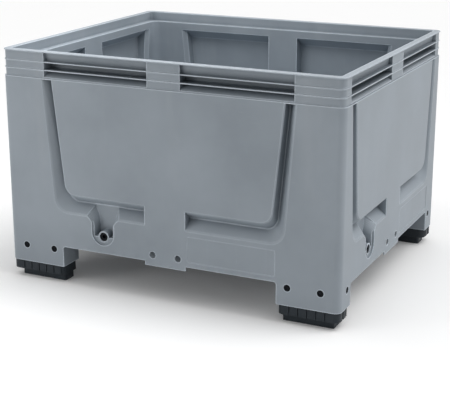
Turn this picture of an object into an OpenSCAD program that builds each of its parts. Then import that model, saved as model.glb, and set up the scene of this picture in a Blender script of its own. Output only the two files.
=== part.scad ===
// Rigid plastic pallet box with four pinned feet and a screwed drain in each wall.
// Long faces look along Y, short faces along X, and the box stands on z = 0.

/* [Box] */
// Length over the outer faces
box_l = 1200; // [1100:10:1300]
// Width over the outer faces
box_w = 1000; // [900:10:1100]
// Height from the floor to the top of the rim
box_h = 790; // [700:10:900]
// Radius of the vertical outer corners
corner_r = 23; // [23:1:34]
// Thickness of each moulded skin
skin = 4.5; // [3.5:0.5:5.5]
// Depth of the double wall, from the outer face to the inner face
wall_d = 45; // [44:1:52]
// Radius of the vertical inner corners
inner_r = 30; // [20:1:45]
// Small slack that keeps neighbouring pieces apart
slack = 0.3; // [0.2:0.05:0.5]

/* [Rim] */
// Height of the nest inside the rim, where the feet of the next box stand
nest_h = 33; // [30:1:36]
// Width of the flat top of the rim
lip_w = 22.5; // [21:0.5:22.5]
// Thickness of the top flange
lip_h = 4; // [3:0.5:6]
// Thickness of the two ribs under the flange
rib_h = 3.5; // [3:0.5:5]
// Height of the open gap between the two ribs
rib_gap = 23; // [20:1:26]
// Height of the open gap between the lower rib and the panel
panel_gap = 25; // [22:1:28]
// How far the rim bands lie behind the outer faces
band_back = 4; // [3:0.5:5]
// How far the ribs lie behind the outer faces
rib_back = 1.5; // [1:0.5:2.5]
// Half width of the pillar in the middle of each face
pillar_half = 58; // [50:1:66]
// Width of the corner post in the rim of a long face
long_rim_post = 157; // [150:1:170]
// Width of the corner post in the rim of a short face
short_rim_post = 54; // [52:1:64]
// Radius of the corners of the nest
nest_r = 7.5; // [5:0.5:10]
// Rounding of the outer top edge
lip_round = 2.5; // [1:0.5:3]

/* [Wall panel] */
// Width of the corner post beside a long panel, at its top
long_post = 155; // [150:1:165]
// Width of the corner post beside a short panel, at its top
short_post = 67; // [64:1:75]
// Distance from the post edge to the panel edge, at its top
groove_w = 33; // [28:1:38]
// Depth of the groove round the panel
groove_d = 34; // [30:1:36]
// Width of the flat at the bottom of the groove
valley_w = 3; // [2:0.5:5]
// Sideways lean of the panel edge, per millimetre of height
panel_lean = 0.107; // [0.08:0.005:0.12]
// Sideways lean of the post edge, per millimetre of height
post_lean = 0.078; // [0.06:0.002:0.08]
// Height of the bottom edge of the panel
panel_z = 316; // [306:1:326]
// Height of the top of the skirt
skirt_top = 255; // [248:1:262]
// Radius of the lower corners of the panel
panel_r = 42; // [30:1:50]
// Radius of the lower corners of the groove
groove_r = 48; // [40:1:60]
// Broken edge of panel and posts along the groove
edge_cut = 3; // [1:0.5:4]

/* [Base] */
// Height of the lower edge of the skirt
skirt_z = 132; // [126:1:138]
// Height of the inner floor
floor_z = 180; // [178:1:190]
// Height of the lower edge of the floor ribs
floor_rib_z = 142; // [138:1:150]
// Thickness of the ribs below the floor
floor_rib_t = 3.5; // [2.5:0.5:5]
// Number of rib bays along the length, odd so that no rib stands in the middle
bays_l = 11; // [9:2:13]
// Number of rib bays along the width, odd as well
bays_w = 9; // [7:2:11]
// Half width of the centre block under each panel
block_half = 74; // [70:1:80]
// Height of the lower edge of the centre blocks
block_z = 118; // [112:1:124]
// Distance of the runner holes from the middle of a face
runner_hole_x = 46; // [40:1:50]
// Height of the runner holes
runner_hole_z = 155; // [150:1:160]
// Radius of the runner holes
runner_hole_r = 11.5; // [9:0.5:13]

/* [Legs] */
// Width of a leg along a long face
leg_l = 211; // [190:1:220]
// Width of a leg along a short face
leg_w = 93; // [88:1:98]
// Height of the lower end of the legs
leg_z = 60; // [56:1:66]
// Fillet where the legs meet the skirt
leg_fillet = 8; // [4:1:14]

/* [Label pads] */
// Start of the label pad from the middle of a face
pad_x = 80; // [76:1:100]
// Gap between the label pad and the leg
pad_end = 5; // [4:1:20]
// Lower edge of the label pad
pad_z = 150; // [142:1:160]
// Height of the label pad
pad_h = 85; // [60:1:90]
// Corner radius of the label pad
pad_r = 6; // [2:1:10]
// Depth of the label pad
pad_d = 1; // [0.6:0.2:1.6]

/* [Feet] */
// How far the sides of a foot lie behind the leg faces
foot_back = 3; // [2:0.5:5]
// Height of the step where the foot narrows to its sole
foot_step_z = 28; // [22:1:30]
// Inset of the sole from the outer leg faces
sole_back = 24.5; // [24:0.5:28]
// Inset of the sole from the inner leg faces
sole_in = 12; // [8:1:16]
// Thickness of the sole at the ground
sole_t = 10; // [6:1:12]
// Corner radius of the sole
sole_r = 10; // [6:1:14]
// Extra taper of the sole between its step and the ground
sole_taper = 2; // [0:0.5:4]
// Height of the spigot of the foot inside the leg
spigot_h = 78; // [74:1:82]
// Wall of the spigot
spigot_t = 5; // [4:0.5:7]
// Spacing of the upright grooves in a foot
foot_groove_step = 29.8; // [26:0.2:32]
// Width of the upright grooves in a foot
foot_groove_w = 3.6; // [2:0.2:5]
// Depth of the upright grooves in a foot
foot_groove_d = 4; // [2:0.5:6]
// Distance of the first groove of a long side from the corner
foot_groove_first = 48; // [40:1:52]
// Distance of the first gap of a short side from the corner
foot_fin_first = 41; // [36:1:46]
// Width of the gaps between the fins on a short side
foot_fin_gap = 8; // [4:1:10]
// Depth of the gaps between the fins
foot_fin_d = 7; // [4:0.5:9]

/* [Foot pins] */
// Height of the pins
pin_z = 119; // [116:1:122]
// Distance of the outer pin of a long face from the corner
pin_outer_x = 64; // [60:1:70]
// Distance of the inner pin of a long face from the inner end of its leg
pin_inner_end = 37; // [31:1:46]
// Distance of the pin of a short face from the corner
pin_short_y = 64; // [60:1:66]
// Radius of the pin holes
pin_hole_r = 11.5; // [9:0.5:12]
// Radial clearance of a pin in its hole
pin_fit = 0.05; // [0.02:0.01:0.1]
// Length of a pin
pin_len = 20; // [18:1:24]
// Length of the tapered nose of a pin, and depth of the ring in its head
pin_nose = 3; // [2:0.5:4]
// Outer radius of the ring in the head of a pin
pin_ring_out = 7.5; // [6:0.5:8]
// Inner radius of the ring in the head of a pin
pin_ring_in = 3.5; // [2:0.5:5]
// How far the head of a pin lies behind the leg face
pin_sink = 1; // [0.5:0.5:2]

/* [Drain] */
// Distance of the drain from the middle of a face
drain_x = 232; // [220:1:240]
// Height of the drain axis
drain_z = 188; // [188:1:196]
// Half width of the drain pocket at the face
pocket_half = 36.5; // [34:0.5:36.5]
// Half width of the drain pocket at its back
pocket_back_half = 30; // [26:0.5:34]
// How far the pocket widens to each side up to the skirt edge
pocket_flare = 25; // [20:0.5:27]
// Height over the drain axis where the pocket starts to widen
pocket_bend = 30; // [24:1:36]
// Depth of the drain pocket
pocket_d = 36; // [35:0.5:38]
// Depth of the ledge round the drain boss
ledge_d = 6; // [5:0.5:8]
// Radius of the round ledge
ledge_r = 41.5; // [40:0.5:44]
// Height of the centre of the round ledge over the drain axis
ledge_rise = 13; // [10:1:16]
// Length of the straight sides of the ledge, above its centre
ledge_side = 38; // [30:1:40]
// How far the boss stands out from the ledge
boss_proud = 1; // [0:0.5:2]
// Outer radius of the drain boss
boss_r = 20; // [19:0.5:22]
// Radius of the threaded drain bore
bore_r = 15.15; // [13:0.05:16]
// Depth of the shoulder in the bore
shoulder_d = 30; // [29:0.5:32]
// Radius of the passage to the inside
passage_r = 8; // [6:0.5:8]
// Radial clearance of the plug in its bore
plug_fit = 0.07; // [0.02:0.01:0.1]
// Depth of the outer face of the plug
plug_in = 9; // [8:0.5:12]
// Thickness of the seal behind the plug
seal_t = 3.4; // [2:0.2:4]
// Corner radius of the hexagon socket in the plug
hex_r = 7.6; // [6:0.2:9]
// Width of the seal ring
seal_w = 5.5; // [4:0.5:6.5]

/* [Hidden] */
$fn = 64;

shell_colour = "#8a939b";
black = "#20262c";
rubber = "#111315";

over = 2;
arc_steps = 8;
hollow_r = 10;
front = 0;
right = 1;
back = 2;
left = 3;
sides = [front, right, back, left];

ledge_z = box_h - nest_h;
gap2_z = ledge_z - rib_h - rib_gap;
panel_top = gap2_z - rib_h - panel_gap;
groove_top = panel_top - rib_h;
slope = (gap2_z + rib_h - panel_top) / (wall_d - skin);
groove_z = skirt_top + groove_d;
column_top = groove_top - skin;
leg_in_x = box_l / 2 - leg_l;
leg_in_y = box_w / 2 - leg_w;

// Half length of a face and distance of its plane from the middle of the box
function face_half(side) = side % 2 == 0 ? box_l / 2 : box_w / 2;
function face_out(side) = side % 2 == 0 ? box_w / 2 : box_l / 2;
function post_edge(side) = face_half(side) - (side % 2 == 0 ? long_post : short_post);
function rim_edge(side) = face_half(side) - (side % 2 == 0 ? long_rim_post : short_rim_post);
function leg_edge(side) = face_half(side) - (side % 2 == 0 ? leg_l : leg_w);

// Puts children on a face: x to the right, y inwards from the outer plane, z up
module on_face(side) {
    rotate([0, 0, 90 * side])
        translate([0, -face_out(side), 0])
            children();
}

module mirrored_x() {
    children();
    mirror([1, 0, 0])
        children();
}

// Extrudes an outline drawn in x and z along y, from depth d0 to depth d1
module through_depth(d0, d1) {
    translate([0, d1, 0])
        rotate([90, 0, 0])
            linear_extrude(d1 - d0)
                children();
}

// Extrudes a section drawn in depth and z along x, from x0 to x1
module along_face(x0, x1) {
    translate([x0, 0, 0])
        rotate([90, 0, 90])
            linear_extrude(x1 - x0)
                children();
}

module rounded_rect(l, w, r) {
    square([l - 2 * r, w], center = true);
    square([l, w - 2 * r], center = true);
    for (sx = [-1, 1], sy = [-1, 1])
        translate([sx * (l / 2 - r), sy * (w / 2 - r)])
            circle(r);
}

// A block of the box outline, set back by inset, between two heights
module slab(inset, r, z0, z1) {
    translate([0, 0, z0])
        linear_extrude(z1 - z0)
            rounded_rect(box_l - 2 * inset, box_w - 2 * inset, r);
}

// Solid through a row of outlines at rising depths, each a list of [x, z]
module loft(depths, outlines) {
    n = len(outlines[0]);
    last = len(depths) - 1;
    points = [for (s = [0:last]) for (p = outlines[s]) [p[0], depths[s], p[1]]];
    outer_end = [for (j = [n - 1:-1:0]) j];
    inner_end = [for (j = [0:n - 1]) last * n + j];
    walls = [for (s = [0:last - 1]) for (j = [0:n - 1])
        let (a = s * n + j, b = s * n + (j + 1) % n)
        for (face = [[a, b, b + n], [a, b + n, a + n]]) face];
    polyhedron(points, concat([outer_end], walls, [inner_end]));
}

function between(a, b, t) = [for (i = [0:len(a) - 1]) a[i] * (1 - t) + b[i] * t];

// Panel-shaped outline: leaning sides, round lower corners, grown outwards by grow
function panel_outline(half, lean, z_top, z_low, r, grow = 0) =
    let (rr = r + grow,
        zl = z_low - grow,
        stretch = sqrt(1 + lean * lean),
        edge = half + grow * stretch,
        half_low = edge - lean * (panel_top - zl),
        cx = half_low + lean * rr - rr * stretch,
        end = -atan(lean),
        corner = [for (i = [0:arc_steps])
            let (a = -90 + (end + 90) * i / arc_steps) [cx + rr * cos(a), zl + rr + rr * sin(a)]],
        x_top = edge - lean * (panel_top - z_top))
    concat(corner,
        [[x_top, z_top], [-x_top, z_top]],
        [for (i = [arc_steps:-1:0]) [-corner[i][0], corner[i][1]]]);

function post_line(side, grow = 0) =
    panel_outline(post_edge(side), post_lean, groove_top, skirt_top, groove_r, grow);

function valley_line(side, grow = 0) =
    panel_outline(post_edge(side) - groove_w + skin + valley_w / 2, (post_lean + 2 * panel_lean) / 3,
        groove_top + slope * groove_d, groove_z - valley_w / 2, groove_r - skin, grow);

function panel_line(side, rise, grow = 0) =
    panel_outline(post_edge(side) - groove_w, panel_lean, groove_top + rise, panel_z, panel_r, grow);

// Everything the groove and the panel take up, between the posts and above the skirt
module groove_field(side) {
    rim = post_line(side, edge_cut);
    loft([-over, 0, edge_cut, groove_d],
        [rim, rim, between(post_line(side), valley_line(side), edge_cut / groove_d), valley_line(side)]);
}

// The panel itself, which stands in the groove flush with the outer face
module panel_core(side) {
    face = panel_line(side, skin, -edge_cut);
    root = [for (p = valley_line(side, -valley_w)) p[1] > panel_top ? [p[0], p[1] + skin] : p];
    loft([-2 * over, 0, edge_cut, groove_d + over],
        [face, face, between(panel_line(side, skin), root, edge_cut / groove_d), root]);
}

module groove(side) {
    difference() {
        groove_field(side);
        panel_core(side);
        translate([-block_half, -3 * over, 0])
            cube([2 * block_half, wall_d, panel_z + panel_r]);
    }
}

// The part of the wall behind the groove that stays free of the hollow posts and skirt
module groove_backing(side) {
    loft([-over, groove_d + skin, wall_d + over],
        [post_line(side, 1.4 * skin), valley_line(side, 1.4 * skin), valley_line(side, 3 * skin)]);
}

// The recess on the inside, behind the panel, on both sides of the pillar
module inner_pocket(side) {
    deep = panel_line(side, 0, -skin);
    waist = [for (p = valley_line(side, -valley_w - skin)) p[1] > panel_top ? [p[0], p[1] - skin / 2] : p];
    mouth = [for (p = valley_line(side, 2 * skin)) p[1] > panel_top ? [p[0], gap2_z - skin / 4] : p];
    difference() {
        loft([skin, groove_d, wall_d, wall_d + over], [deep, waist, mouth, mouth]);
        translate([0, 0, floor_z])
            linear_extrude(box_h)
                polygon([[-pillar_half - over, 0], [pillar_half + over, 0],
                    [pillar_half, wall_d + 2 * over], [-pillar_half, wall_d + 2 * over]]);
    }
}

// Openings between the ribs of the rim, from the pillar to the corner post
module rim_windows(side) {
    end = rim_edge(side);
    depth = wall_d - skin;
    mirrored_x()
        intersection() {
            translate([0, 0, panel_top - over])
                linear_extrude(box_h - panel_top)
                    polygon(concat([[pillar_half, -over], [end, -over]],
                        [for (a = [0:15:90]) [end - skin * sin(a), skin * (1 - cos(a))]],
                        [[end - 3 * skin, depth], [pillar_half + over, depth]]));
            along_face(0, face_half(side)) {
                polygon([[-over, ledge_z], [lip_w - skin, ledge_z], [lip_w - 2 * skin, box_h - lip_h],
                    [-over, box_h - lip_h]]);
                polygon([[-over, gap2_z], [depth - rib_h / slope, gap2_z], [depth, gap2_z + rib_h],
                    [depth, ledge_z - rib_h], [-over, ledge_z - rib_h]]);
                polygon([[-over, panel_top], [0, panel_top], [panel_gap / slope, gap2_z - rib_h],
                    [-over, gap2_z - rib_h]]);
            }
        }
}

// Ring between the outer and the inner skin
module ring(d0, d1, z0, z1) {
    difference() {
        slab(d0, max(corner_r - d0, hollow_r), z0, z1);
        slab(d1, inner_r + wall_d - d1, z0 - over, z1 + over);
    }
}

// Hollow of the posts, the skirt and the pillars
module wall_hollow() {
    hollow_out = wall_d - skin;
    difference() {
        ring(skin, hollow_out, -over, column_top);
        for (side = sides)
            on_face(side)
                groove_backing(side);
        for (side = sides)
            on_face(side)
                skirt_webs(side);
        at_corners()
            leg_walls();
    }
    for (side = sides)
        on_face(side) {
            translate([skin - pillar_half, skin, skirt_z - over])
                cube([2 * (pillar_half - skin), hollow_out - skin, column_top - skirt_z + over]);
            along_face(skin - block_half, block_half - skin)
                polygon([[skin, 0], [hollow_out, 0], [hollow_out, groove_z - 3 * skin],
                    [groove_d, groove_z - skin / 2], [skin, panel_z - skin]]);
        }
    difference() {
        ring(band_back + skin, hollow_out, column_top - over, ledge_z - rib_h - skin);
        for (side = sides)
            on_face(side)
                mirrored_x()
                    translate([pillar_half - skin, -over, column_top - 2 * over])
                        cube([rim_edge(side) - pillar_half + 2 * skin, wall_d + 2 * over, box_h]);
    }
}

function bay(side) = 2 * (face_half(side) - wall_d) / (side % 2 == 0 ? bays_l : bays_w);

// Upright webs that join the two skins of the skirt
module skirt_webs(side) {
    step = bay(side);
    for (x = [step / 2:step:leg_edge(side) - floor_rib_t])
        if (x > block_half)
            mirrored_x()
                translate([x - floor_rib_t / 2, 0, floor_rib_z])
                    cube([floor_rib_t, wall_d, groove_z]);
}

module floor_ribs() {
    span_l = box_l - 2 * wall_d;
    span_w = box_w - 2 * wall_d;
    for (i = [1:bays_l - 1])
        translate([-span_l / 2 + i * span_l / bays_l - floor_rib_t / 2, -box_w / 2, floor_rib_z])
            cube([floor_rib_t, box_w, floor_z]);
    for (i = [1:bays_w - 1])
        translate([-box_l / 2, -span_w / 2 + i * span_w / bays_w - floor_rib_t / 2, floor_rib_z])
            cube([box_l, floor_rib_t, floor_z]);
}

module at_corners() {
    for (sx = [0, 1], sy = [0, 1])
        mirror([sx, 0, 0])
            mirror([0, sy, 0])
                children();
}

// Space below the floor, between the skirts and outside the legs
module floor_hollow() {
    difference() {
        translate([wall_d - box_l / 2, wall_d - box_w / 2, 0])
            cube([box_l - 2 * wall_d, box_w - 2 * wall_d, floor_z - skin]);
        at_corners()
            translate([leg_in_x, leg_in_y, -over])
                cube([leg_l, leg_w, floor_z]);
        floor_ribs();
    }
}

// The two walls of a leg that face the fork ways, carried through the hollow of the skirt
module leg_walls() {
    t = skin - slack;
    translate([leg_in_x, leg_in_y, -over])
        cube([t, leg_w, floor_z]);
    translate([leg_in_x, leg_in_y, -over])
        cube([leg_l, t, floor_z]);
}

// Space inside the legs: wide for the spigot of a foot, narrower above it
module leg_hollow() {
    spigot_top = leg_z + spigot_h + over;
    at_corners() {
        intersection() {
            slab(skin, corner_r - skin, leg_z - over, spigot_top);
            translate([leg_in_x + skin, leg_in_y + skin, 0])
                cube([leg_l, leg_w, box_h]);
        }
        translate([leg_in_x + skin, leg_in_y + skin, spigot_top - over])
            cube([leg_l - skin - wall_d, leg_w - skin - wall_d, floor_z - skin - spigot_top + over]);
    }
}

// Fork way through the base, with round upper corners
module fork_way(half, length) {
    rotate([90, 0, 0])
        linear_extrude(length, center = true) {
            translate([-half, -over])
                square([2 * half, skirt_z + over - leg_fillet]);
            translate([leg_fillet - half, 0])
                square([2 * (half - leg_fillet), skirt_z]);
            for (s = [-1, 1])
                translate([s * (half - leg_fillet), skirt_z - leg_fillet])
                    circle(leg_fillet);
        }
}

module fork_ways() {
    difference() {
        union() {
            fork_way(leg_in_x, box_w + 2 * over);
            rotate([0, 0, 90])
                fork_way(leg_in_y, box_l + 2 * over);
        }
        for (side = sides)
            on_face(side)
                translate([-block_half, -3 * over, block_z])
                    cube([2 * block_half, wall_d + 3 * over, box_h]);
    }
}

// Full outside of the box before anything is hollowed out
module outer_form() {
    slab(0, corner_r, leg_z, panel_top);
    slab(band_back, corner_r - band_back, leg_z + over, box_h - lip_h / 2);
    slab(rib_back, corner_r - rib_back, gap2_z - rib_h, gap2_z);
    slab(rib_back, corner_r - rib_back, ledge_z - rib_h, ledge_z);
    slab(0, corner_r, box_h - lip_h, box_h);
}

// Sharp corner left over when a quarter round is taken from a square
module round_off(r) {
    difference() {
        square([r + over, r + over]);
        circle(r);
    }
}

// Runs a section round the box outline, set back by inset; x of the section points outwards
module round_outline(inset, r) {
    for (side = sides)
        on_face(side) {
            run = face_half(side) - inset - r;
            translate([-run, inset, 0])
                rotate([90, 0, 90])
                    linear_extrude(2 * run)
                        mirror([1, 0])
                            children();
            translate([run, inset + r, 0])
                rotate([0, 0, -90])
                    rotate_extrude(angle = 90)
                        translate([r, 0])
                            children();
        }
}

// Rounds the outer top edge of the flange
module flange_rounding() {
    round_outline(0, corner_r)
        translate([-lip_round, box_h - lip_round])
            round_off(lip_round);
}

module label_pad(side) {
    x1 = leg_edge(side) - pad_end;
    through_depth(-over, pad_d)
        translate([(pad_x + x1) / 2, pad_z + pad_h / 2])
            rounded_rect(x1 - pad_x, pad_h, pad_r);
}

// Opening of the drain pocket: straight at its floor, flaring up to the skirt edge
function drain_outline(half, wide, z_floor, z_bend, z_edge, z_top) =
    let (flare = [for (i = [0:arc_steps])
            let (t = i / arc_steps) [half + (wide - half) * t * t, z_bend + (z_edge - z_bend) * t]],
        side = concat([[half, z_floor]], flare, [[wide, z_top]]),
        n = len(side) - 1)
    concat(side, [for (i = [n:-1:0]) [-side[i][0], side[i][1]]]);

function drain_mouth(grow) = drain_outline(pocket_half + grow, pocket_half + pocket_flare + grow,
    drain_z - grow, drain_z + pocket_bend, skirt_top, (skirt_top + panel_z) / 2 + over);

function drain_back() = drain_outline(pocket_back_half, pocket_back_half + pocket_flare / 2,
    drain_z, drain_z + 1.5 * pocket_bend, groove_z - 3 * skin, groove_z);

module drain_pocket() {
    loft([-over, 0, pocket_d], [drain_mouth(0), drain_mouth(0), drain_back()]);
    through_depth(-over, ledge_d)
        drain_ledge(0);
}

// Round-bottomed shallow ledge that carries the lower half of the boss
module drain_ledge(grow) {
    r = ledge_r + grow;
    translate([0, drain_z + ledge_rise]) {
        circle(r);
        translate([-r, 0])
            square([2 * r, ledge_side]);
    }
}

// Solid that carries the pocket through the hollow of the skirt
module drain_housing() {
    through_depth(skin / 2, pocket_d + skin)
        polygon(drain_mouth(skin));
    through_depth(skin / 3, ledge_d + skin)
        drain_ledge(skin);
}

module drain_boss() {
    translate([0, wall_d - skin / 2, drain_z])
        rotate([90, 0, 0])
            cylinder(h = wall_d - skin / 2 - ledge_d + boss_proud, r = boss_r);
}

module drain_bore() {
    translate([0, shoulder_d, drain_z])
        rotate([90, 0, 0])
            cylinder(h = shoulder_d + over, r = bore_r);
    translate([0, wall_d + over, drain_z])
        rotate([90, 0, 0])
            cylinder(h = wall_d, r = passage_r);
}

// Outside form with the closed spaces taken out of its double walls, legs and base
module hollow_form() {
    difference() {
        outer_form();
        wall_hollow();
        floor_hollow();
        leg_hollow();
    }
}

module at_drains() {
    for (side = sides)
        on_face(side)
            translate([-drain_x, 0, 0])
                children();
}

// All walls, the floor and the drain pockets, still without bosses and holes
module shell_body() {
    difference() {
        union() {
            hollow_form();
            at_drains()
                drain_housing();
        }
        slab(wall_d, inner_r, floor_z, box_h + over);
        slab(lip_w, nest_r, ledge_z, box_h + over);
        fork_ways();
        flange_rounding();
        for (side = sides)
            on_face(side) {
                rim_windows(side);
                groove(side);
                inner_pocket(side);
                label_pad(side);
            }
        at_drains()
            drain_pocket();
    }
}

// Round hole from the outer plane inwards
module face_hole(r, depth) {
    translate([0, depth, 0])
        rotate([90, 0, 0])
            cylinder(h = depth + over, r = r);
}

function long_pins() = [box_l / 2 - pin_outer_x, box_l / 2 - leg_l + pin_inner_end];
function pins_on(side) = side % 2 == 0 ? long_pins() : [box_w / 2 - pin_short_y];

module pin_holes(depth) {
    for (side = sides)
        on_face(side)
            for (x = pins_on(side))
                mirrored_x()
                    translate([x, 0, pin_z])
                        face_hole(pin_hole_r, depth);
}

module runner_holes() {
    for (side = sides)
        on_face(side)
            mirrored_x()
                translate([runner_hole_x, 0, runner_hole_z])
                    face_hole(runner_hole_r, skin + over);
}

module box_shell() {
    color(shell_colour)
        difference() {
            union() {
                shell_body();
                at_drains()
                    drain_boss();
            }
            at_drains()
                drain_bore();
            pin_holes(skin + over);
            runner_holes();
        }
}

// Upright block with rounded corners between two opposite plan corners
module plan_block(x0, x1, y0, y1, r, z0, z1) {
    translate([(x0 + x1) / 2, (y0 + y1) / 2, z0])
        linear_extrude(z1 - z0)
            rounded_rect(x1 - x0, y1 - y0, r);
}

// Block inside the plan of a leg, set back from its outer and its inner faces
module leg_block(outer, inner, r, z0, z1) {
    plan_block(leg_in_x + inner, box_l / 2 - outer, leg_in_y + inner, box_w / 2 - outer, r, z0, z1);
}

// Wedges that give the sole its slight taper on the two outer sides
module sole_taper_cut() {
    x1 = box_l / 2 - sole_back;
    y1 = box_w / 2 - sole_back;
    translate([0, box_w, 0])
        rotate([90, 0, 0])
            linear_extrude(box_w)
                polygon([[x1 - sole_taper, 0], [x1, foot_step_z], [x1 + over, foot_step_z],
                    [x1 + over, -over], [x1 - sole_taper, -over]]);
    rotate([90, 0, 90])
        linear_extrude(box_l)
            polygon([[y1 - sole_taper, 0], [y1, foot_step_z], [y1 + over, foot_step_z],
                [y1 + over, -over], [y1 - sole_taper, -over]]);
}

// Upright grooves in the two outer sides of the foot
module foot_grooves() {
    top = leg_z - foot_back;
    low = foot_step_z - over;
    for (x = [box_l / 2 - foot_groove_first:-foot_groove_step:leg_in_x + sole_in])
        translate([x - foot_groove_w / 2, box_w / 2 - foot_back - foot_groove_d, low])
            cube([foot_groove_w, foot_groove_d + over, top - low]);
    for (y = [box_w / 2 - foot_fin_first:-foot_groove_step:leg_in_y + sole_in])
        translate([box_l / 2 - foot_back - foot_fin_d, y - foot_fin_gap / 2, low])
            cube([foot_fin_d + over, foot_fin_gap, top - low]);
}

// Foot of the corner at +x and +y: grooved band, narrower sole and a hollow spigot for the leg
module foot() {
    spigot_gap = skin + slack;
    spigot_r = corner_r - spigot_gap;
    spigot_top = leg_z + spigot_h;
    wall_in = spigot_gap + spigot_t;
    difference() {
        union() {
            leg_block(foot_back, foot_back, corner_r - foot_back, foot_step_z, leg_z - slack);
            leg_block(spigot_gap, spigot_gap, spigot_r, leg_z - over, spigot_top);
            difference() {
                leg_block(sole_back, sole_in, sole_r, 0, foot_step_z + over);
                sole_taper_cut();
            }
        }
        difference() {
            union() {
                leg_block(wall_in, wall_in, spigot_r - spigot_t, foot_step_z + spigot_t, spigot_top + over);
                leg_block(sole_back + sole_taper + spigot_t, sole_in + spigot_t, sole_r / 2, sole_t, leg_z);
            }
            foot_ribs(pin_z - pin_hole_r - spigot_t);
        }
        foot_grooves();
        pin_holes(pin_len + 2 * slack + pin_sink);
    }
}

// Cross ribs inside the foot, below the pins
module foot_ribs(top) {
    for (i = [1, 2])
        translate([leg_in_x + i * leg_l / 3 - floor_rib_t / 2, leg_in_y, 0])
            cube([floor_rib_t, leg_w, top]);
    translate([leg_in_x, leg_in_y + leg_w / 2 - floor_rib_t / 2, 0])
        cube([leg_l, floor_rib_t, top]);
}

// Barrel pin with a ring-shaped face, sunk a little into its hole
module pin() {
    r = pin_hole_r - pin_fit;
    translate([0, pin_sink, 0])
        rotate([-90, 0, 0])
            difference() {
                union() {
                    cylinder(h = pin_len - pin_nose, r = r);
                    translate([0, 0, pin_len - pin_nose])
                        cylinder(h = pin_nose, r1 = r, r2 = r - pin_nose / 2);
                }
                translate([0, 0, -over])
                    difference() {
                        cylinder(h = pin_nose + over, r = pin_ring_out);
                        cylinder(h = pin_nose + 2 * over, r = pin_ring_in);
                    }
            }
}

// Screw plug in the threaded bore, with a hexagon socket
module plug() {
    length = shoulder_d - 2 * slack - seal_t - plug_in;
    translate([0, plug_in, drain_z])
        rotate([-90, 0, 0])
            difference() {
                cylinder(h = length, r = bore_r - plug_fit);
                translate([0, 0, -over])
                    cylinder(h = length / 2 + over, r = hex_r, $fn = 6);
            }
}

// Flat ring between the plug and the shoulder of the bore
module seal() {
    r = bore_r - slack;
    translate([0, shoulder_d - slack - seal_t, drain_z])
        rotate([-90, 0, 0])
            difference() {
                cylinder(h = seal_t, r = r);
                translate([0, 0, -over])
                    cylinder(h = seal_t + 2 * over, r = r - seal_w);
            }
}

module foot_at(left_side, front_side) {
    color(black)
        mirror([left_side, 0, 0])
            mirror([0, front_side, 0])
                foot();
}

module pin_at(side, x) {
    color(black)
        on_face(side)
            translate([x, 0, pin_z])
                pin();
}

module plug_at(side) {
    color(black)
        on_face(side)
            translate([-drain_x, 0, 0])
                plug();
}

module seal_at(side) {
    color(rubber)
        on_face(side)
            translate([-drain_x, 0, 0])
                seal();
}

outer_x = long_pins()[0];
inner_x = long_pins()[1];
side_x = box_w / 2 - pin_short_y;

module foot_front_left() foot_at(1, 1);
module foot_front_right() foot_at(0, 1);
module foot_back_left() foot_at(1, 0);
module foot_back_right() foot_at(0, 0);
module pin_front_left_outer() pin_at(front, -outer_x);
module pin_front_left_inner() pin_at(front, -inner_x);
module pin_front_left_side() pin_at(left, side_x);
module pin_front_right_outer() pin_at(front, outer_x);
module pin_front_right_inner() pin_at(front, inner_x);
module pin_front_right_side() pin_at(right, -side_x);
module pin_back_left_outer() pin_at(back, outer_x);
module pin_back_left_inner() pin_at(back, inner_x);
module pin_back_left_side() pin_at(left, -side_x);
module pin_back_right_outer() pin_at(back, -outer_x);
module pin_back_right_inner() pin_at(back, -inner_x);
module pin_back_right_side() pin_at(right, side_x);
module plug_front() plug_at(front);
module plug_right() plug_at(right);
module plug_back() plug_at(back);
module plug_left() plug_at(left);
module seal_front() seal_at(front);
module seal_right() seal_at(right);
module seal_back() seal_at(back);
module seal_left() seal_at(left);

box_shell();
foot_front_left();
foot_front_right();
foot_back_left();
foot_back_right();
pin_front_left_outer();
pin_front_left_inner();
pin_front_left_side();
pin_front_right_outer();
pin_front_right_inner();
pin_front_right_side();
pin_back_left_outer();
pin_back_left_inner();
pin_back_left_side();
pin_back_right_outer();
pin_back_right_inner();
pin_back_right_side();
plug_front();
plug_right();
plug_back();
plug_left();
seal_front();
seal_right();
seal_back();
seal_left();
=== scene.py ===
import math

import bpy
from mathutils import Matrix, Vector

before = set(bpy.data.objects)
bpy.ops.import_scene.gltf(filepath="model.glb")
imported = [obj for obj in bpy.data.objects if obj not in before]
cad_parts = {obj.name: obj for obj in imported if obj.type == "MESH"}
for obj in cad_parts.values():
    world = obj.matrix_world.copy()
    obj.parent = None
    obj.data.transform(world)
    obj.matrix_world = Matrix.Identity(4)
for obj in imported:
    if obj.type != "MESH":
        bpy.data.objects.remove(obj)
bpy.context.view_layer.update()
print("frame loaded, nodes:", len(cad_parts))


# small helpers for building node materials

def newMaterial(name):
    mat = bpy.data.materials.new(name)
    mat.use_nodes = True
    nodes = mat.node_tree.nodes
    nodes.clear()
    out = nodes.new("ShaderNodeOutputMaterial")
    shader = nodes.new("ShaderNodeBsdfPrincipled")
    mat.node_tree.links.new(shader.outputs["BSDF"], out.inputs["Surface"])
    return mat, mat.node_tree, shader


def placeNoise(tree, coords, scale, detail=3.0, rough=0.5, stretch=None):
    # noise in metres; stretch squeezes it along an axis for drips and scuffs
    noise = tree.nodes.new("ShaderNodeTexNoise")
    noise.inputs["Scale"].default_value = scale
    noise.inputs["Detail"].default_value = detail
    noise.inputs["Roughness"].default_value = rough
    source = coords
    if stretch:
        mapping = tree.nodes.new("ShaderNodeMapping")
        mapping.inputs["Scale"].default_value = stretch
        tree.links.new(coords, mapping.inputs["Vector"])
        source = mapping.outputs["Vector"]
    tree.links.new(source, noise.inputs["Vector"])
    return noise.outputs["Fac"]


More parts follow.
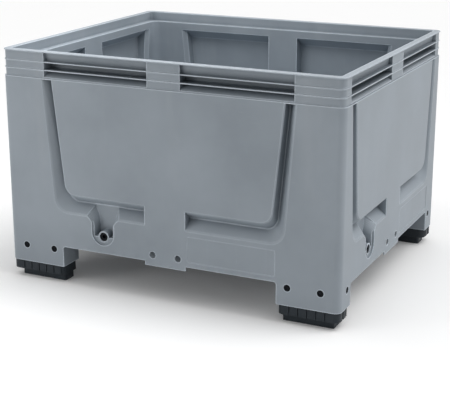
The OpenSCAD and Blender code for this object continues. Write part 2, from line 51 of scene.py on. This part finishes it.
def remap(tree, value, fromLow, fromHigh, toLow, toHigh):
    node = tree.nodes.new("ShaderNodeMapRange")
    node.inputs["From Min"].default_value = fromLow
    node.inputs["From Max"].default_value = fromHigh
    node.inputs["To Min"].default_value = toLow
    node.inputs["To Max"].default_value = toHigh
    tree.links.new(value, node.inputs["Value"])
    return node.outputs["Result"]


def mixColours(tree, factor, first, second):
    node = tree.nodes.new("ShaderNodeMix")
    node.data_type = "RGBA"
    tree.links.new(factor, node.inputs["Factor"])
    # sockets 6 and 7 take the colours, and output 2 gives the mixed one
    for socket, value in ((6, first), (7, second)):
        if isinstance(value, (tuple, list)):
            node.inputs[socket].default_value = (*value[:3], 1)
        else:
            tree.links.new(value, node.inputs[socket])
    return node.outputs[2]


def maths(tree, operation, first, second=None, clamp=False):
    node = tree.nodes.new("ShaderNodeMath")
    node.operation = operation
    node.use_clamp = clamp
    for socket, value in enumerate((first, second)):
        if value is None:
            continue
        if isinstance(value, (int, float)):
            node.inputs[socket].default_value = value
        else:
            tree.links.new(value, node.inputs[socket])
    return node.outputs[0]


def objectCoords(tree):
    return tree.nodes.new("ShaderNodeTexCoord").outputs["Object"]


def roundedNormal(tree, radius):
    bevel = tree.nodes.new("ShaderNodeBevel")
    bevel.samples = 6
    bevel.inputs["Radius"].default_value = radius
    return bevel.outputs["Normal"]


def addRoundedEdges(tree, shader, radius, heights):
    # softens the moulded edges and stacks the surface texture on them
    normal = roundedNormal(tree, radius)
    for height, strength, distance in heights:
        bump = tree.nodes.new("ShaderNodeBump")
        bump.inputs["Strength"].default_value = strength
        bump.inputs["Distance"].default_value = distance
        tree.links.new(height, bump.inputs["Height"])
        tree.links.new(normal, bump.inputs["Normal"])
        normal = bump.outputs["Normal"]
    tree.links.new(normal, shader.inputs["Normal"])


def sharpEdgeMask(tree, radius, low, high):
    # how far the rounded normal turns away from the flat one: 1 on sharp edges
    rounded = roundedNormal(tree, radius)
    geometry = tree.nodes.new("ShaderNodeNewGeometry")
    dot = tree.nodes.new("ShaderNodeVectorMath")
    dot.operation = "DOT_PRODUCT"
    tree.links.new(rounded, dot.inputs[0])
    tree.links.new(geometry.outputs["Normal"], dot.inputs[1])
    return remap(tree, dot.outputs["Value"], high, low, 0.0, 1.0)


def openness(tree, reach):
    # 1 on open faces and outer edges, falling to 0 deep in narrow corners
    node = tree.nodes.new("ShaderNodeAmbientOcclusion")
    node.samples = 8
    node.inputs["Distance"].default_value = reach
    return node.outputs["AO"]


def dress(nodeName, material):
    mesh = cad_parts[nodeName].data
    if not mesh.materials:
        mesh.materials.append(material)
    for i in range(len(mesh.materials)):
        mesh.materials[i] = material


# blue-grey moulded plastic of the box

shellLook = {
    "colour": (0.275, 0.315, 0.355),
    "paleColour": (0.34, 0.385, 0.43),
    "dustColour": (0.43, 0.46, 0.49),
    # near-white colour of the painted highlight on the outer edges
    "wearAndHighlightColour": (0.77, 0.85, 0.93),
    # dark colour of the painted shade in corners and recesses
    "paintedShadeColour": (0.028, 0.040, 0.054),
    "cloudScale": 3.2,
    "streakScale": 9.0,
    "streakStretch": (1.0, 1.0, 0.16),      # streaks run down the walls
    "scratchScale": 60.0,
    "scratchStretch": (0.22, 0.22, 1.6),    # scratches run along them
    "waveScale": 7.0,
    "peelScale": 160.0,
    "grainScale": 900.0,
    "dustMost": 0.3,
    "scuffMost": 0.22,
    # how far and how strongly the painted shade reaches into corners
    "paintedShadeReach": 0.042,
    "paintedShadeMost": 0.7,
    "roughness": 0.46,
    "dustRoughness": 0.25,
    "specular": 0.5,
    "edgeRadius": 0.002,
    "paleEdgeRadius": 0.006,
}


def makeShellPlastic(look):
    mat, tree, shader = newMaterial("shellPlastic")
    coords = objectCoords(tree)
    clouds = placeNoise(tree, coords, look["cloudScale"], 4.0, 0.55)
    streaks = placeNoise(tree, coords, look["streakScale"], 4.0, 0.6, look["streakStretch"])
    scratches = placeNoise(tree, coords, look["scratchScale"], 5.0, 0.7, look["scratchStretch"])
    waves = placeNoise(tree, coords, look["waveScale"], 1.0, 0.4)
    peel = placeNoise(tree, coords, look["peelScale"], 2.0, 0.5)
    grain = placeNoise(tree, coords, look["grainScale"], 2.0, 0.6)

    colour = mixColours(tree, remap(tree, clouds, 0.35, 0.68, 0.0, 1.0), look["colour"], look["paleColour"])
    dust = remap(tree, streaks, 0.52, 0.78, 0.0, look["dustMost"])
    colour = mixColours(tree, dust, colour, look["dustColour"])
    scuff = remap(tree, scratches, 0.66, 0.74, 0.0, look["scuffMost"])
    colour = mixColours(tree, scuff, colour, look["dustColour"])
    # painted shade: the colour darkens in narrow corners, recesses and under ledges, where shade falls
    free = openness(tree, look["paintedShadeReach"])
    paintedShade = maths(tree, "MULTIPLY", remap(tree, free, 0.1, 0.7, 1.0, 0.0), look["paintedShadeMost"])
    colour = mixColours(tree, paintedShade, colour, look["paintedShadeColour"])
    # painted highlight: outer edges are painted near white where they would catch the light, inner corners
    # aren't
    edges = maths(tree, "MULTIPLY", sharpEdgeMask(tree, look["paleEdgeRadius"], 0.88, 0.995),
        remap(tree, clouds, 0.3, 0.7, 0.7, 1.0))
    edges = maths(tree, "MULTIPLY", edges, remap(tree, free, 0.5, 0.8, 0.0, 1.0))
    colour = mixColours(tree, edges, colour, look["wearAndHighlightColour"])
    tree.links.new(colour, shader.inputs["Base Color"])

    rough = remap(tree, clouds, 0.3, 0.7, look["roughness"] - 0.05, look["roughness"] + 0.07)
    rough = maths(tree, "ADD", rough, maths(tree, "MULTIPLY", dust, look["dustRoughness"]))
    rough = maths(tree, "ADD", rough, remap(tree, grain, 0.3, 0.7, -0.03, 0.03), clamp=True)
    tree.links.new(rough, shader.inputs["Roughness"])
    shader.inputs["Specular IOR Level"].default_value = look["specular"]
    addRoundedEdges(tree, shader, look["edgeRadius"],
        ((waves, 0.25, 0.004), (peel, 0.12, 0.0006), (grain, 0.22, 0.0002), (scratches, 0.06, 0.0003)))
    return mat


shellPlastic = makeShellPlastic(shellLook)
dress("box_shell", shellPlastic)
print("shell material done")


# near-black feet

footLook = {
    "colour": (0.010, 0.016, 0.022),
    "dustColour": (0.044, 0.057, 0.068),
    # paler colour for the painted highlight and wear on the edges
    "wearAndHighlightColour": (0.07, 0.082, 0.095),
    "blotchScale": 14.0,
    "rubScale": 45.0,
    "rubStretch": (0.35, 0.35, 1.5),
    "grainScale": 700.0,
    "dustHeight": 0.035,                    # dust gathers below this height
    "roughness": 0.5,
    "specular": 0.35,
    "edgeRadius": 0.0012,
    "paleEdgeRadius": 0.002,
}


def makeFootPlastic(look):
    mat, tree, shader = newMaterial("footPlastic")
    coords = objectCoords(tree)
    blotches = placeNoise(tree, coords, look["blotchScale"], 4.0, 0.6)
    rub = placeNoise(tree, coords, look["rubScale"], 5.0, 0.7, look["rubStretch"])
    grain = placeNoise(tree, coords, look["grainScale"], 2.0, 0.6)

    # floor dust and rub lie low on the sole
    split = tree.nodes.new("ShaderNodeSeparateXYZ")
    tree.links.new(coords, split.inputs[0])
    low = remap(tree, split.outputs["Z"], 0.0, look["dustHeight"], 0.65, 0.12)
    dust = maths(tree, "MULTIPLY", remap(tree, blotches, 0.38, 0.7, 0.0, 1.0), low)
    colour = mixColours(tree, dust, look["colour"], look["dustColour"])
    # painted highlight and wear: sharp edges are painted paler, patchy with the rub noise
    edges = maths(tree, "MULTIPLY", sharpEdgeMask(tree, look["paleEdgeRadius"], 0.80, 0.99),
        remap(tree, rub, 0.35, 0.65, 0.2, 0.75))
    colour = mixColours(tree, edges, colour, look["wearAndHighlightColour"])
    tree.links.new(colour, shader.inputs["Base Color"])

    rough = remap(tree, blotches, 0.3, 0.7, look["roughness"] - 0.06, look["roughness"] + 0.14)
    tree.links.new(rough, shader.inputs["Roughness"])
    shader.inputs["Specular IOR Level"].default_value = look["specular"]
    addRoundedEdges(tree, shader, look["edgeRadius"], ((rub, 0.1, 0.0005), (grain, 0.25, 0.0002)))
    return mat


footPlastic = makeFootPlastic(footLook)
for fb in ("front", "back"):
    for lr in ("left", "right"):
        dress(f"foot_{fb}_{lr}", footPlastic)
print("foot material done")


# black pins and drain plugs, seals

pinLook = {
    "colour": (0.002, 0.003, 0.005),
    # paler colour for the random wear blotches, and for the painted highlight and wear on edges
    "wearAndHighlightColour": (0.020, 0.026, 0.034),
    "blotchScale": 60.0,
    "rubScale": 220.0,
    "grainScale": 1400.0,
    "rubBump": 0.15,
    "roughness": 0.42,
    "specular": 0.14,
    "edgeRadius": 0.0006,
    "paleEdgeRadius": 0.0012,
}
plugLook = dict(pinLook, roughness=0.32, rubBump=0.08)
sealLook = dict(pinLook, roughness=0.72, rubBump=0.3, colour=(0.02, 0.02, 0.021))


def makeBlackPlastic(name, look):
    mat, tree, shader = newMaterial(name)
    coords = objectCoords(tree)
    blotches = placeNoise(tree, coords, look["blotchScale"], 3.0, 0.6)
    rub = placeNoise(tree, coords, look["rubScale"], 4.0, 0.7)
    grain = placeNoise(tree, coords, look["grainScale"], 2.0, 0.6)

    worn = remap(tree, blotches, 0.45, 0.75, 0.0, 0.35)
    colour = mixColours(tree, worn, look["colour"], look["wearAndHighlightColour"])
    # painted highlight and wear: sharp edges are painted paler, patchy with the rub noise
    edges = maths(tree, "MULTIPLY", sharpEdgeMask(tree, look["paleEdgeRadius"], 0.80, 0.99),
        remap(tree, rub, 0.4, 0.62, 0.1, 0.8))
    colour = mixColours(tree, edges, colour, look["wearAndHighlightColour"])
    tree.links.new(colour, shader.inputs["Base Color"])

    rough = remap(tree, rub, 0.3, 0.7, look["roughness"] - 0.06, look["roughness"] + 0.14)
    tree.links.new(rough, shader.inputs["Roughness"])
    shader.inputs["Specular IOR Level"].default_value = look["specular"]
    addRoundedEdges(tree, shader, look["edgeRadius"], ((rub, look["rubBump"], 0.0003), (grain, 0.2, 0.0001)))
    return mat


pinPlastic = makeBlackPlastic("pinPlastic", pinLook)
plugPlastic = makeBlackPlastic("plugPlastic", plugLook)
sealRubber = makeBlackPlastic("sealRubber", sealLook)
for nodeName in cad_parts:
    if nodeName.startswith("pin_"):
        dress(nodeName, pinPlastic)
    elif nodeName.startswith("plug_"):
        dress(nodeName, plugPlastic)
    elif nodeName.startswith("seal_"):
        dress(nodeName, sealRubber)
print("pin, plug and seal materials done")


# floor, backdrop, light and camera

stageLook = {
    "floorSize": 80.0,
    "floorColour": (0.68, 0.68, 0.68),
    "seenColour": (1.0, 1.0, 1.0),          # what the camera and reflections see
    "seenGlow": 0.045,
    "skyLow": 0.08,
    "skyHigh": 1.23,
}
sunLook = {"strength": 1.0, "angle": 40.0, "source": (0.62, 0.22, 1.0)}
boxLooks = {
    "sideBox": {"power": 11.0, "size": (2.4, 0.8), "place": (3.4, 0.5, 1.35), "target": (0, 0.2, 0.4)},
    "leftBox": {"power": 24.0, "size": (1.6, 1.0), "place": (-2.7, -3.0, 1.2), "target": (-0.5, -0.5, 0.5)},
    # hangs over the opening, and lights the rim and the inside
    "topBox": {"power": 6.8, "size": (0.8, 0.6), "place": (-0.25, -0.25, 1.7), "target": (-0.25, -0.24, 0)},
}


def seenFactor(tree):
    # 1 for rays from the camera, and for mirrored or refracted ones
    path = tree.nodes.new("ShaderNodeLightPath")
    seen = maths(tree, "MAXIMUM", path.outputs["Is Camera Ray"], path.outputs["Is Glossy Ray"])
    return maths(tree, "MAXIMUM", seen, path.outputs["Is Transmission Ray"])


def makeFloor(look):
    half = look["floorSize"] / 2
    mesh = bpy.data.meshes.new("floor")
    corners = [(-half, -half, 0), (half, -half, 0), (half, half, 0), (-half, half, 0)]
    mesh.from_pydata(corners, [], [(0, 1, 2, 3)])
    floor = bpy.data.objects.new("floor", mesh)
    bpy.context.scene.collection.objects.link(floor)
    mat, tree, shader = newMaterial("floorPaper")
    fibre = placeNoise(tree, objectCoords(tree), 300.0, 3.0, 0.6)
    colour = mixColours(tree, seenFactor(tree), look["floorColour"], look["seenColour"])
    tree.links.new(colour, shader.inputs["Base Color"])
    tree.links.new(remap(tree, fibre, 0.3, 0.7, 0.75, 0.85), shader.inputs["Roughness"])
    # the paper is seen pure white, and only the shadow stays grey
    shader.inputs["Emission Color"].default_value = (1, 1, 1, 1)
    glow = maths(tree, "MULTIPLY", seenFactor(tree), look["seenGlow"])
    tree.links.new(glow, shader.inputs["Emission Strength"])
    shader.inputs["Specular IOR Level"].default_value = 0.0
    mesh.materials.append(mat)


def makeWorld(look):
    world = bpy.data.worlds.new("studio")
    bpy.context.scene.world = world
    world.use_nodes = True
    tree = world.node_tree
    tree.nodes.clear()
    out = tree.nodes.new("ShaderNodeOutputWorld")
    soft = tree.nodes.new("ShaderNodeBackground")
    # the soft light grows from the horizon to the zenith
    split = tree.nodes.new("ShaderNodeSeparateXYZ")
    tree.links.new(tree.nodes.new("ShaderNodeTexCoord").outputs["Generated"], split.inputs[0])
    height = maths(tree, "MAXIMUM", split.outputs["Z"], 0.0)
    height = maths(tree, "MULTIPLY", height, height)
    tree.links.new(remap(tree, height, 0.0, 1.0, look["skyLow"], look["skyHigh"]), soft.inputs["Strength"])
    white = tree.nodes.new("ShaderNodeBackground")
    white.inputs["Strength"].default_value = 1.0
    for shade in (soft, white):
        shade.inputs["Color"].default_value = (1, 1, 1, 1)
    mix = tree.nodes.new("ShaderNodeMixShader")
    tree.links.new(seenFactor(tree), mix.inputs["Fac"])
    tree.links.new(soft.outputs[0], mix.inputs[1])
    tree.links.new(white.outputs[0], mix.inputs[2])
    tree.links.new(mix.outputs[0], out.inputs["Surface"])


def placeLamp(name, light, place, target):
    lamp = bpy.data.objects.new(name, light)
    bpy.context.scene.collection.objects.link(lamp)
    lamp.location = place
    lamp.rotation_mode = "QUATERNION"
    lamp.rotation_quaternion = (Vector(target) - Vector(place)).to_track_quat("-Z", "Y")
    return lamp


def makeSun(name, look):
    light = bpy.data.lights.new(name, "SUN")
    light.energy = look["strength"]
    light.angle = math.radians(look["angle"])
    placeLamp(name, light, look["source"], (0, 0, 0))


def makeSoftBox(name, look):
    light = bpy.data.lights.new(name, "AREA")
    light.energy = look["power"]
    light.shape = "RECTANGLE"
    light.size, light.size_y = look["size"]
    lamp = placeLamp(name, light, look["place"], look["target"])
    lamp.visible_camera = False


makeFloor(stageLook)
makeWorld(stageLook)
makeSun("keyLamp", sunLook)
for boxName, boxLook in boxLooks.items():
    makeSoftBox(boxName, boxLook)
print("stage and lamps done")

cameraLook = {
    "focalPixels": 1180.5,
    "imageWidth": 450,
    "yaw": 25.546,
    "pitch": 16.938,
    "place": (1.7230, -3.6562, 1.4379),
}


def makeCamera(look):
    cam = bpy.data.cameras.new("photoCamera")
    cam.sensor_width = 36.0
    cam.lens = look["focalPixels"] / look["imageWidth"] * 36.0
    cam.clip_start = 0.05
    cam.clip_end = 200.0
    camera = bpy.data.objects.new("photoCamera", cam)
    bpy.context.scene.collection.objects.link(camera)
    camera.location = look["place"]
    yaw, pitch = math.radians(look["yaw"]), math.radians(look["pitch"])
    ahead = Vector((-math.sin(yaw) * math.cos(pitch), math.cos(yaw) * math.cos(pitch), -math.sin(pitch)))
    camera.rotation_mode = "QUATERNION"
    camera.rotation_quaternion = ahead.to_track_quat("-Z", "Y")
    bpy.context.scene.camera = camera


makeCamera(cameraLook)
bpy.context.scene.view_settings.view_transform = "Standard"
print("camera done")
